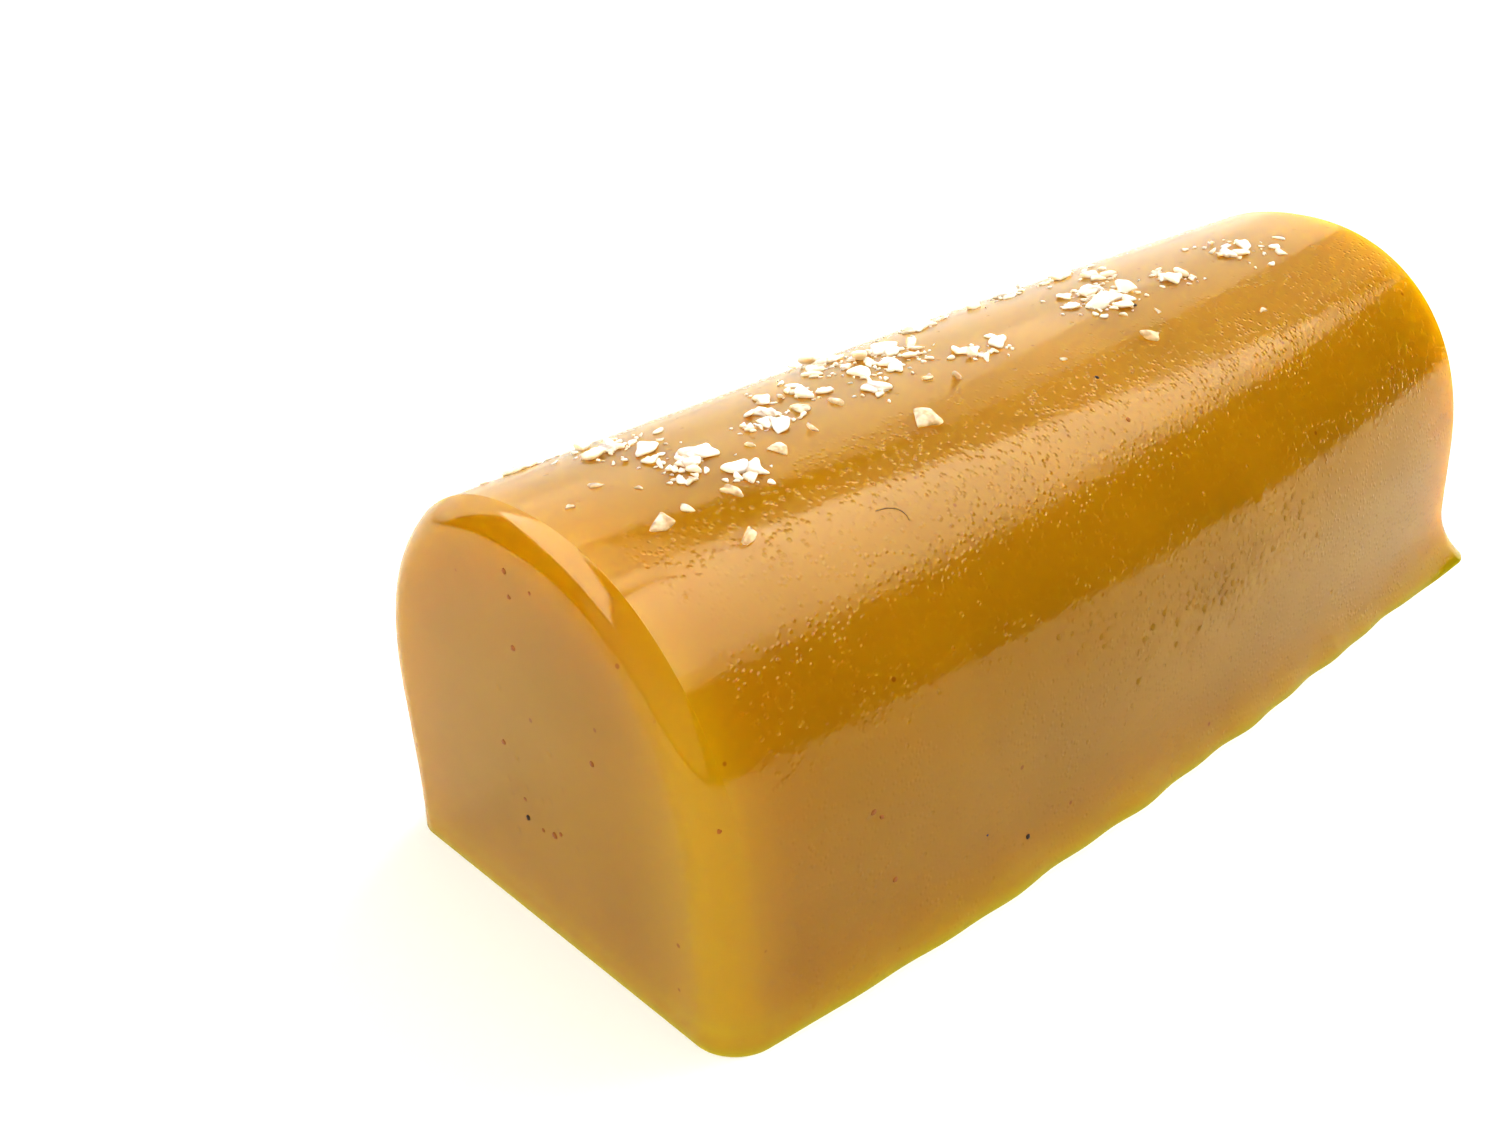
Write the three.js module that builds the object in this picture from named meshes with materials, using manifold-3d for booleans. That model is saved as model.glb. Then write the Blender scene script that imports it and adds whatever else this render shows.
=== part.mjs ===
// Salted caramel candy: one bar of soft caramel, cast in a round-topped mould, with coarse sea salt on top.
// Millimetres. X runs along the bar, Y across it and Z up. The bar rests on the plane z = 0, and the origin
// is under its middle. The end at -X was cast crisp. The end at +X has slumped: rounder rim, wider foot.

import * as THREE from 'three';
import { mergeVertices } from 'three/addons/utils/BufferGeometryUtils.js';
import Module from 'manifold-3d';

const { lerp, smoothstep, clamp } = THREE.MathUtils;
const wasm = await Module();
wasm.setup();

// ---------------------------------------------------------------- driving dimensions

const LENGTH = 76.6;         // over the foot at both ends
const WIDTH = 28.8;          // straight sides, mean of both ends
const HEIGHT = 25;           // to the ridge of the dome
const SHOULDER = 9.3;        // height of the straight sides, where the dome starts
const DOME_POWER = 2.2;      // 2 would make the dome an ellipse; more makes its shoulders fuller
const BOW = 1.7;             // how far each long side bulges at mid-length
const TAPER = 0.035;         // share by which the crisp end is wider, and the slumped end narrower

const CORNER = 2.4;          // rounding of the upright corners at the base
const CORNER_REACH = 22;     // height by which that rounding has turned into the rim's

// The rim curves from the dome down to the flat end: steep at the dome, where a line shows, and then softer.
const RIM = { depth: 1.5, width: 2.5, power: 3 };
const RIM_CROWDING = 1.5;    // above 1, the rim's steps lie closer together near the dome
const CRISP_END = { rimScale: 1, flare: 0.1 };
const SLUMPED_END = { rimScale: 1.7, flare: 1.6 };

const FOOT_HEIGHT = 4.5;     // the lowest part spreads outwards where the soft bar settled
const SIDE_FLARE = 0.5;      // spread of the long sides' foot
const FOOT_WAVES = [         // it comes and goes: by which share, how often, and how far round
  { share: 0.2, length: 13, shift: 0 },
  { share: 0.15, length: 5.7, shift: 1.3 },
];

const STEPS = { long: 36, across: 12, up: 12, rim: 5 };
const SIDE_SHARE = 0.42;     // share of the steps up that climb the straight side
const FOOT_CROWDING = 1.3;   // above 1, those steps lie closer together near the base

// Coarse salt lies in drifts along the ridge: where each is, how many grains it has and how far they scatter.
const SALT_DRIFTS = [
  { x: -32.6, y: 6.4, grains: 3, along: 1.5, across: 0.2 },
  { x: -28.6, y: 3.3, grains: 13, along: 1.1, across: 1.3 },
  { x: -28, y: -2, grains: 10, along: 0.8, across: 0.8 },
  { x: -25.6, y: -4.3, grains: 4, along: 0.5, across: 0.5 },
  { x: -21.4, y: -0.8, grains: 7, along: 1.2, across: 0.6 },
  { x: -17.3, y: 1.6, grains: 5, along: 1.2, across: 1.2 },
  { x: -12.2, y: 3.3, grains: 15, along: 1.1, across: 1.8 },
  { x: -12.9, y: -1.4, grains: 4, along: 0.9, across: 0.7 },
  { x: -8.2, y: 1.2, grains: 14, along: 1.1, across: 1.2 },
  { x: -4.3, y: -1.9, grains: 5, along: 1, across: 0.7 },
  { x: -2, y: 5, grains: 5, along: 3, across: 0.8 },
  { x: 5.4, y: 4.9, grains: 5, along: 2.4, across: 0.4 },
  { x: 7.6, y: -1.2, grains: 18, along: 1.4, across: 1.1 },
  { x: 12.3, y: 3, grains: 6, along: 1.6, across: 1.8 },
  { x: 15, y: -2.2, grains: 5, along: 0.9, across: 1 },
  { x: 23.2, y: -1.8, grains: 8, along: 1.3, across: 1.5 },
];
const STRAY_GRAINS = [
  { x: -34.9, y: -1.6, size: 0.7 },
  { x: -32.5, y: -0.7, size: 1.1 },
  { x: -31.1, y: -2.2, size: 0.6 },
  { x: -32.2, y: -5.4, size: 1.7 },
  { x: -30.4, y: -5.2, size: 1.1 },
  { x: -29, y: -8, size: 1.5 },
  { x: -27.5, y: -5.2, size: 1.4 },
  { x: -22.8, y: -3.6, size: 1.3 },
  { x: -19.9, y: -3.2, size: 1.1 },
  { x: -18.6, y: -0.9, size: 1.6 },
  { x: -16.4, y: -1.4, size: 1.2 },
  { x: -13.8, y: -5.9, size: 2 },
  { x: -10, y: -2.6, size: 1.2 },
  { x: -8.8, y: -3.6, size: 1.3 },
  { x: -1.4, y: -5.6, size: 0.6 },
  { x: 6, y: -6.5, size: 1.7 },
  { x: 9.3, y: -4.8, size: 0.8 },
  { x: 16.7, y: -7.9, size: 0.9 },
];
const SALT_REACH = { x: 35, y: 9 };           // no grain lies further out than this
const GRAIN = { largest: 1.9, smallest: 0.6, slimmest: 0.45, widest: 0.85 };
const GRAIN_SIDES = { large: 7, small: 5, largeFrom: 1.2 };
const GRAIN_THICKNESS = { least: 0.18, most: 0.32 };   // as a share of the grain's size
const GRAIN_CHIPPING = { outline: 0.35, faces: 0.25 };  // how ragged its rim and its faces are
const GRAIN_TILT = { usual: 0.2, leaning: 0.8, share: 0.25 };   // radians, and the share that lean
const GRAIN_STAND = 0.35;    // share of its half height by which a grain's middle stands above the caramel
const SEED = 21223;

// ---------------------------------------------------------------- caramel bar

const endOf = (u) => (u < 0 ? CRISP_END : SLUMPED_END);

const halfLength = (x) => LENGTH / 2 - endOf(x).flare;

/** Half the bar's width at x, below the shoulder. */
function halfWidth(x) {
  const along = x / halfLength(x);
  return (WIDTH / 2) * (1 - TAPER * along) + BOW * (1 - along * along);
}

/** Height of the dome above the point (x, y). */
function domeHeight(x, y) {
  const across = Math.min(1, Math.abs(y) / halfWidth(x));
  return SHOULDER + (HEIGHT - SHOULDER) * (1 - across ** DOME_POWER) ** (1 / DOME_POWER);
}

/**
 * Place in a section of box coordinates v (-1 to 1) and w (0 to 1): a across, b up the dome, height z, and how
 * far out it lies, from 0 in the middle to 1 at the skin.
 */
function sectionPlace(v, w) {
  if (w < SIDE_SHARE) {
    return { a: v, b: 0, z: SHOULDER * (w / SIDE_SHARE) ** FOOT_CROWDING, out: Math.abs(v) };
  }
  const up = (w - SIDE_SHARE) / (1 - SIDE_SHARE);
  const a = v * Math.sqrt(1 - (up * up) / 2);
  const b = up * Math.sqrt(1 - (v * v) / 2);
  const out = Math.hypot(a, b);
  const norm = (Math.abs(a) ** DOME_POWER + b ** DOME_POWER) ** (1 / DOME_POWER);
  const swell = norm > 0 ? out / norm : 0;
  return { a: a * swell, b: b * swell, z: SHOULDER + (HEIGHT - SHOULDER) * b * swell, out };
}

/** How far the foot spreads at box coordinate u and height z. */
function footSpread(u, z, x, y) {
  if (z >= FOOT_HEIGHT) return 0;
  const turnOf = (wave) => (2 * Math.PI * (x + y)) / wave.length + wave.shift;
  const wave = FOOT_WAVES.reduce((sum, each) => sum + each.share * Math.sin(turnOf(each)), 0);
  const side = SIDE_FLARE * (1 + wave * (1 - u * u));
  const spread = lerp(side, endOf(u).flare, smoothstep(Math.abs(u), 0.5, 1));
  return spread * (1 - z / FOOT_HEIGHT) ** 2;
}

/** How deep the rim lies below the end's plane at an inset from the dome. */
function rimDepth(inset, scale) {
  const past = Math.min(1, inset / scale / RIM.width);
  return scale * RIM.depth * (1 - past) ** RIM.power;
}

/** The point of the bar for box coordinates u along, v across (-1 to 1) and w up (0 to 1). */
function barPoint(u, v, w) {
  const scale = endOf(u).rimScale;
  const straight = 1 - (2 * STEPS.rim) / STEPS.long;
  const place = sectionPlace(v, w);

  const low = 1 - smoothstep(place.z, 0, CORNER_REACH);
  const past = Math.max(0, Math.abs(u) - straight) / (1 - straight);
  const turn = past * (Math.PI / 2);
  const rimInset = scale * RIM.width * past ** RIM_CROWDING;
  const inset = lerp(rimInset, CORNER * (1 - Math.cos(turn)), low);
  const fromDome = rimInset + (1 - place.out) * (WIDTH / 2);
  const depth = lerp(rimDepth(fromDome, scale), CORNER * (1 - Math.sin(turn)), low);

  const start = lerp(rimDepth(0, scale), CORNER, low);
  const middle = (halfLength(u) - start) * (Math.min(Math.abs(u), straight) / straight);
  const x = Math.sign(u) * (past > 0 ? halfLength(u) - depth : middle);
  const y = place.a * (halfWidth(x) - inset);
  const z = place.z - place.b * inset;
  const spread = footSpread(u, z, x, y);
  return new THREE.Vector3(x + u * spread, y + v * spread, z);
}

/** The bar as a closed surface: a box whose grid of points is carried to the bar's form. */
function barGeometry() {
  const box = shared(new THREE.BoxGeometry(2, 2, 1, STEPS.long, STEPS.across, STEPS.up));
  const points = box.getAttribute('position');
  for (let i = 0; i < points.count; i += 1) {
    const point = barPoint(points.getX(i), points.getY(i), points.getZ(i) + 0.5);
    points.setXYZ(i, point.x, point.y, point.z);
  }
  return box;
}

// ---------------------------------------------------------------- sea salt

let drawState = SEED;

/** The next of a fixed series of numbers, evenly spread from 0 to 1. */
function draw() {
  drawState = (drawState * 48271) % 2147483647;
  return drawState / 2147483647;
}

/** The next number around 0 with a spread of 1, never beyond 3. */
const drawAround = () => 2 * (draw() + draw() + draw() - 1.5);

/** A grain of this size at (x, y), with its own thickness, slimness and turn. */
function grainAt(x, y, size) {
  const thickness = size * lerp(GRAIN_THICKNESS.least, GRAIN_THICKNESS.most, draw());
  const slimness = lerp(GRAIN.slimmest, GRAIN.widest, draw());
  const leaning = draw() < GRAIN_TILT.share ? GRAIN_TILT.leaning : GRAIN_TILT.usual;
  const tilt = leaning * draw();
  const heading = draw() * 2 * Math.PI;
  const spin = draw() * 2 * Math.PI;
  return { x, y, size, thickness, slimness, tilt, heading, spin };
}

/** The grains of one drift, the largest first. */
function driftGrains(drift) {
  const grains = [];
  for (let i = 0; i < drift.grains; i += 1) {
    const x = clamp(drift.x + drift.along * drawAround(), -SALT_REACH.x, SALT_REACH.x);
    const y = clamp(drift.y + drift.across * drawAround(), -SALT_REACH.y, SALT_REACH.y);
    grains.push(grainAt(x, y, lerp(GRAIN.largest, GRAIN.smallest, i / drift.grains)));
  }
  return grains;
}

/** A grain of crushed rock salt: a low prism with a ragged outline and uneven faces. */
function grainGeometry({ size, thickness, slimness }) {
  const sides = size > GRAIN_SIDES.largeFrom ? GRAIN_SIDES.large : GRAIN_SIDES.small;
  const prism = shared(new THREE.CylinderGeometry(size / 2, size / 2, thickness, sides));
  prism.rotateX(Math.PI / 2);
  const points = prism.getAttribute('position');
  for (let i = 0; i < points.count; i += 1) {
    const reach = 1 + GRAIN_CHIPPING.outline * (0.5 - draw());
    const rise = 1 - GRAIN_CHIPPING.faces * draw();
    points.setXYZ(i, points.getX(i) * reach, points.getY(i) * reach * slimness, points.getZ(i) * rise);
  }
  return prism;
}

/** The dome's outward direction above (x, y). */
function domeNormal(x, y) {
  const reach = 0.2;
  const slopeX = (domeHeight(x + reach, y) - domeHeight(x - reach, y)) / (2 * reach);
  const slopeY = (domeHeight(x, y + reach) - domeHeight(x, y - reach)) / (2 * reach);
  return new THREE.Vector3(-slopeX, -slopeY, 1).normalize();
}

/** The grain where it lies on the dome, with its lower part in the caramel. */
function placedGrain(grain) {
  const { x, y, size, thickness, tilt, heading, spin } = grain;
  const up = new THREE.Vector3(0, 0, 1);
  const normal = domeNormal(x, y);
  const tiltAxis = new THREE.Vector3(Math.cos(heading), Math.sin(heading), 0);
  const turn = new THREE.Quaternion()
    .setFromUnitVectors(up, normal)
    .multiply(new THREE.Quaternion().setFromAxisAngle(tiltAxis, tilt))
    .multiply(new THREE.Quaternion().setFromAxisAngle(up, spin));
  const halfHeight = (thickness * Math.cos(tilt) + size * Math.sin(tilt)) / 2;
  const stand = normal.clone().multiplyScalar(GRAIN_STAND * halfHeight);
  return grainGeometry(grain)
    .applyQuaternion(turn)
    .translate(x + stand.x, y + stand.y, domeHeight(x, y) + stand.z);
}

// ---------------------------------------------------------------- solids

/** The same geometry with its points shared between faces. */
function shared(geometry) {
  geometry.deleteAttribute('normal');
  geometry.deleteAttribute('uv');
  return mergeVertices(geometry, 1e-4);
}

function solidOf(geometry) {
  return new wasm.Manifold(new wasm.Mesh({
    numProp: 3,
    vertProperties: new Float32Array(geometry.getAttribute('position').array),
    triVerts: new Uint32Array(geometry.index.array),
  }));
}

function geometryOf(solid) {
  const mesh = solid.getMesh();
  const geometry = new THREE.BufferGeometry();
  geometry.setAttribute('position', new THREE.BufferAttribute(mesh.vertProperties, 3));
  geometry.setIndex(new THREE.BufferAttribute(mesh.triVerts, 1));
  geometry.computeVertexNormals();
  return geometry;
}

/** The outer skin of a fused solid: a pocket sealed between grains is filled, and a loose scrap dropped. */
const outerSkin = (solid) => solid.decompose().reduce((a, b) => (a.volume() > b.volume() ? a : b));

const bar = solidOf(barGeometry());
const strays = STRAY_GRAINS.map(({ x, y, size }) => grainAt(x, y, size));
const grains = [...strays, ...SALT_DRIFTS.flatMap(driftGrains)].map(placedGrain).map(solidOf);
const fused = grains.reduce((whole, grain) => whole.add(grain), bar);

const caramel = new THREE.MeshStandardMaterial({ color: 0xbf8433, roughness: 0.22, metalness: 0 });
const group = new THREE.Group();
const caramelBar = new THREE.Mesh(geometryOf(outerSkin(fused)), caramel);
caramelBar.name = 'caramel_bar';
group.add(caramelBar);

export default group;
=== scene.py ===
"""Looks of a salted caramel candy: a round-topped bar of soft caramel with coarse sea salt along its ridge.

Everything is in metres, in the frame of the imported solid: X along the bar, Y across it and Z up, with the
origin under the middle of the bar. The bar's form repeats the solid's, from the same sizes.
"""

import logging
import math
from collections.abc import Iterator
from contextlib import contextmanager
from dataclasses import astuple, dataclass
from enum import Enum

import bpy
import numpy as np
from mathutils import Matrix, Quaternion, Vector

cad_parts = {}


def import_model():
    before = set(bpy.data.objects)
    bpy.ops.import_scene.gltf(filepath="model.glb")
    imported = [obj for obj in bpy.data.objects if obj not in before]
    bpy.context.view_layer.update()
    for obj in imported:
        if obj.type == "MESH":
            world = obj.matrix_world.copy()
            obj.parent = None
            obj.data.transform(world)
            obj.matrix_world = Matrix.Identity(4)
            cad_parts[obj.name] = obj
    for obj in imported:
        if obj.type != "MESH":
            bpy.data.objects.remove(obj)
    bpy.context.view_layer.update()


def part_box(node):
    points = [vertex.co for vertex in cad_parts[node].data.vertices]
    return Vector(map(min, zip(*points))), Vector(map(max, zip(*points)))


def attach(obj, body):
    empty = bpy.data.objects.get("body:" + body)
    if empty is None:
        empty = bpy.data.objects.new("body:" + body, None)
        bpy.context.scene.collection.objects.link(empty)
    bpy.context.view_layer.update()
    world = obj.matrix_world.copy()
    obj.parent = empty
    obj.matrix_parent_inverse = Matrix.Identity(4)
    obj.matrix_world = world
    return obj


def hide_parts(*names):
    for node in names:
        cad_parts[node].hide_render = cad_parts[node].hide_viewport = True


LOG = logging.getLogger("salted_caramel")

MM = 0.001                      # metres in a millimetre
CAD_NODE = "caramel_bar"

Socket = bpy.types.NodeSocket
Colour = tuple[float, float, float]     # red, green and blue
Place = tuple[float, float, float]      # x, y and z
Pair = tuple[float, float]              # two numbers, often the ends of a range
Values = float | np.ndarray             # one number, or an array of them

RISING = (0.0, 1.0)
FALLING = (1.0, 0.0)
NOISE_SPAN = (0.35, 0.65)               # between which most of a noise pattern's values lie
TINY = 1e-12                            # keeps a division clear of 0


class SelectBy(Enum):
    """What a selection in edit mode is made of."""

    VERTEX = (True, False, False)
    EDGE = (False, True, False)
    FACE = (False, False, True)


class Axis(Enum):
    """An axis of the bar's frame, by its place in a coordinate."""

    X = 0
    Y = 1
    Z = 2


# ---------------------------------------------------------------- modelling helpers


def select_only(*pieces: bpy.types.Object) -> None:
    """Makes these objects the only selected ones, and the first of them the active one.

    Args:
        *pieces: The objects to work on next.
    """
    bpy.ops.object.select_all(action="DESELECT")
    for piece in pieces:
        piece.select_set(True)
    bpy.context.view_layer.objects.active = pieces[0]


@contextmanager
def editing(piece: bpy.types.Object, by: SelectBy, chosen: np.ndarray) -> Iterator[None]:
    """Opens a piece in edit mode with only the chosen elements selected, and leaves edit mode afterwards.

    Args:
        piece: The mesh object to edit.
        by: Whether the chosen elements are vertices, edges or faces.
        chosen: One truth value for each of those elements.

    Yields:
        Nothing: edit-mode operators run inside the block.
    """
    select_only(piece)
    bpy.context.tool_settings.mesh_select_mode = by.value
    elements = {
        SelectBy.VERTEX: piece.data.vertices,
        SelectBy.EDGE: piece.data.edges,
        SelectBy.FACE: piece.data.polygons,
    }
    for kind, items in elements.items():
        flags = chosen if kind is by else np.zeros(len(items), bool)
        items.foreach_set("select", flags)
    bpy.ops.object.mode_set(mode="EDIT")
    yield
    bpy.ops.object.mode_set(mode="OBJECT")


def rows_of(items: bpy.types.bpy_prop_collection, name: str) -> np.ndarray:
    """Reads one property of all of a mesh's vertices or faces.

    Args:
        items: The mesh's vertices or its faces.
        name: A property of three numbers, such as a vertex's place.

    Returns:
        One row of x, y and z for each of them.
    """
    flat = np.empty(len(items) * 3)
    items.foreach_get(name, flat)
    return flat.reshape(-1, 3)


def move_corners(mesh: bpy.types.Mesh, places: np.ndarray) -> None:
    """Puts a mesh's vertices at new places.

    Args:
        mesh: The mesh to change.
        places: One row x, y, z for each vertex.
    """
    mesh.vertices.foreach_set("co", places.astype(np.float32).ravel())
    mesh.update()


def split_along(piece: bpy.types.Object, axis: Axis, parts: int) -> None:
    """Cuts every edge that runs along one axis into equal parts, and the faces between them with it.

    Args:
        piece: A mesh object whose edges run along the axes.
        axis: The axis of the edges to cut.
        parts: How many parts each edge becomes.
    """
    ends = np.empty(len(piece.data.edges) * 2, int)
    piece.data.edges.foreach_get("vertices", ends)
    places = rows_of(piece.data.vertices, "co")[ends.reshape(-1, 2)]
    run = np.abs(places[:, 1] - places[:, 0])
    nearly_all = 0.99
    along = run[:, axis.value] > nearly_all * run.sum(axis=1)
    with editing(piece, SelectBy.EDGE, along):
        bpy.ops.mesh.subdivide(number_cuts=parts - 1)


def apply_modifier(piece: bpy.types.Object, kind: str, **settings: object) -> None:
    """Adds a modifier to a piece and applies it at once.

    Args:
        piece: The mesh object.
        kind: The modifier's type, as Blender names it.
        **settings: Values for the modifier's own settings.
    """
    select_only(piece)
    modifier = piece.modifiers.new(kind.title(), kind)
    for name, value in settings.items():
        setattr(modifier, name, value)
    bpy.ops.object.modifier_apply(modifier=modifier.name)


def round_off(piece: bpy.types.Object, times: int) -> None:
    """Rounds a piece's edges off, and makes its faces finer, this many times."""
    apply_modifier(piece, "SUBSURF", levels=times, render_levels=times)


def break_up(piece: bpy.types.Object, depth: float, width: float) -> None:
    """Makes a piece's surface uneven.

    Args:
        piece: The mesh object.
        depth: How far the surface may move in or out.
        width: How wide the breaks in it are.
    """
    breaks = bpy.data.textures.new("breaks", "CLOUDS")
    breaks.noise_scale = width
    apply_modifier(piece, "DISPLACE", texture=breaks, strength=2 * depth)


def joined(pieces: list[bpy.types.Object], name: str) -> bpy.types.Object:
    """Joins objects into one.

    Args:
        pieces: The mesh objects.
        name: What the whole is called.

    Returns:
        The whole, selected and active.
    """
    select_only(*pieces)
    bpy.ops.object.join()
    whole = bpy.context.object
    whole.name = whole.data.name = name
    return whole


def on_skin(bar: bpy.types.Object, near: Place) -> tuple[Vector, Vector]:
    """Returns the place on the bar's skin nearest to one in millimetres, and the outward direction there."""
    _, place, outward, _ = bar.closest_point_on_mesh(Vector(near) * MM)
    return place, outward


def smoothstep(value: Values, low: float, high: float) -> Values:
    """Returns 0 below low, 1 above high and a smooth rise between them."""
    share = np.clip((value - low) / (high - low), 0.0, 1.0)
    return share * share * (3.0 - 2.0 * share)


def blended(start: Values, end: Values, share: Values) -> Values:
    """Returns the value that lies at this share of the way from start to end."""
    return start + (end - start) * share


# ---------------------------------------------------------------- node helpers


class NodeBench:
    """A material's node tree with short ways to add and join nodes."""

    def __init__(self, name: str) -> None:
        """Starts a material with a Principled shader on its output.

        Args:
            name: The material's name.
        """
        self.material = bpy.data.materials.new(name)
        self.material.use_nodes = True
        self.tree = self.material.node_tree
        self.tree.nodes.clear()
        output = self.tree.nodes.new("ShaderNodeOutputMaterial")
        self.shader = self.tree.nodes.new("ShaderNodeBsdfPrincipled")
        self.join(self.shader.outputs["BSDF"], output.inputs["Surface"])
        self.place = self.tree.nodes.new("ShaderNodeTexCoord").outputs["Object"]

    def join(self, source: Socket, target: Socket) -> None:
        """Links an output socket to an input socket."""
        self.tree.links.new(source, target)

    def feed(self, target: Socket, value: object) -> None:
        """Gives an input socket a value, or a link where the value is another node's output.

        Args:
            target: The input socket.
            value: A number, a row of numbers, a colour, or the output of a node.
        """
        if isinstance(value, bpy.types.NodeSocket):
            self.join(value, target)
        elif target.type == "RGBA":
            target.default_value = (*value, 1.0)
        else:
            target.default_value = value

    def pattern(self, kind: str, size: float) -> bpy.types.Node:
        """Adds a pattern that reads the piece's own coordinates.

        Args:
            kind: The node's type, as Blender names it.
            size: Width of the pattern's spots, in metres.

        Returns:
            The pattern's node.
        """
        node = self.tree.nodes.new(kind)
        self.join(self.place, node.inputs["Vector"])
        node.inputs["Scale"].default_value = 1.0 / size
        return node

    def noise(self, size: float) -> Socket:
        """Returns soft noise, about 0 to 1, in spots of this width."""
        return self.pattern("ShaderNodeTexNoise", size).outputs["Fac"]

    def cells(self, size: float) -> Socket:
        """Returns the distance to the nearest of scattered points, as a share of how far apart they lie."""
        return self.pattern("ShaderNodeTexVoronoi", size).outputs["Distance"]

    def ranged(self, value: object, old: Pair, new: Pair, smooth: bool = True) -> Socket:
        """Carries a value from one range to another, held at both ends.

        Args:
            value: The value to carry.
            old: The range that it has.
            new: The range that it gets.
            smooth: Whether the way between is a smooth step.

        Returns:
            The new value.
        """
        node = self.tree.nodes.new("ShaderNodeMapRange")
        node.interpolation_type = "SMOOTHSTEP" if smooth else "LINEAR"
        self.feed(node.inputs["Value"], value)
        for socket, number in zip(("From Min", "From Max", "To Min", "To Max"), old + new):
            node.inputs[socket].default_value = number
        return node.outputs["Result"]

    def reckoned(self, operation: str, first: object, second: object = 0.0) -> Socket:
        """Works one value out of two.

        Args:
            operation: What is done with them, as Blender names it.
            first: A number, or the output of a node.
            second: Another one, where the operation takes two.

        Returns:
            The result.
        """
        node = self.tree.nodes.new("ShaderNodeMath")
        node.operation = operation
        self.feed(node.inputs[0], first)
        self.feed(node.inputs[1], second)
        return node.outputs[0]

    def product(self, first: object, second: object) -> Socket:
        """Returns the product of two values."""
        return self.reckoned("MULTIPLY", first, second)

    def off_middle(self, axis: Axis) -> Socket:
        """Returns the distance from the piece's middle along one axis."""
        return self.reckoned("ABSOLUTE", self.along(axis))

    def mixed(self, share: object, first: object, second: object) -> Socket:
        """Mixes two colours.

        Args:
            share: How much of the second there is.
            first: A colour, or the output of a node.
            second: A colour, or the output of a node.

        Returns:
            The mixed colour.
        """
        node = self.tree.nodes.new("ShaderNodeMix")
        node.data_type = "RGBA"
        colour_sockets = {0: share, 6: first, 7: second}    # the others are for numbers, vectors and turns
        for place, value in colour_sockets.items():
            self.feed(node.inputs[place], value)
        return node.outputs[2]

    def bump(self, height: object, distance: float, under: object = None) -> Socket:
        """Adds fine relief.

        Args:
            height: The relief's height, where 1 stands for the whole distance.
            distance: That distance in metres.
            under: The normal of a coarser relief that this one lies on.

        Returns:
            The new normal.
        """
        node = self.tree.nodes.new("ShaderNodeBump")
        node.inputs["Distance"].default_value = distance
        self.feed(node.inputs["Height"], height)
        if under is not None:
            self.join(under, node.inputs["Normal"])
        return node.outputs["Normal"]

    def attribute(self, name: str) -> Socket:
        """Reads one of the piece's own attributes.

        Args:
            name: The attribute's name.

        Returns:
            Its value.
        """
        node = self.tree.nodes.new("ShaderNodeAttribute")
        node.attribute_name = name
        return node.outputs["Fac"]

    def along(self, axis: Axis) -> Socket:
        """Reads the piece's own coordinate along one axis.

        Args:
            axis: The axis.

        Returns:
            The coordinate, in metres.
        """
        node = self.tree.nodes.new("ShaderNodeSeparateXYZ")
        self.join(self.place, node.inputs[0])
        return node.outputs[axis.value]

    def settle(self, **values: object) -> bpy.types.Material:
        """Sets the shader's sockets.

        Args:
            **values: A value, a colour or a node's output for each socket, with _ for a space in its name.

        Returns:
            The finished material.
        """
        for name, value in values.items():
            self.feed(self.shader.inputs[name.replace("_", " ")], value)
        return self.material


# ---------------------------------------------------------------- finishes


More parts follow.
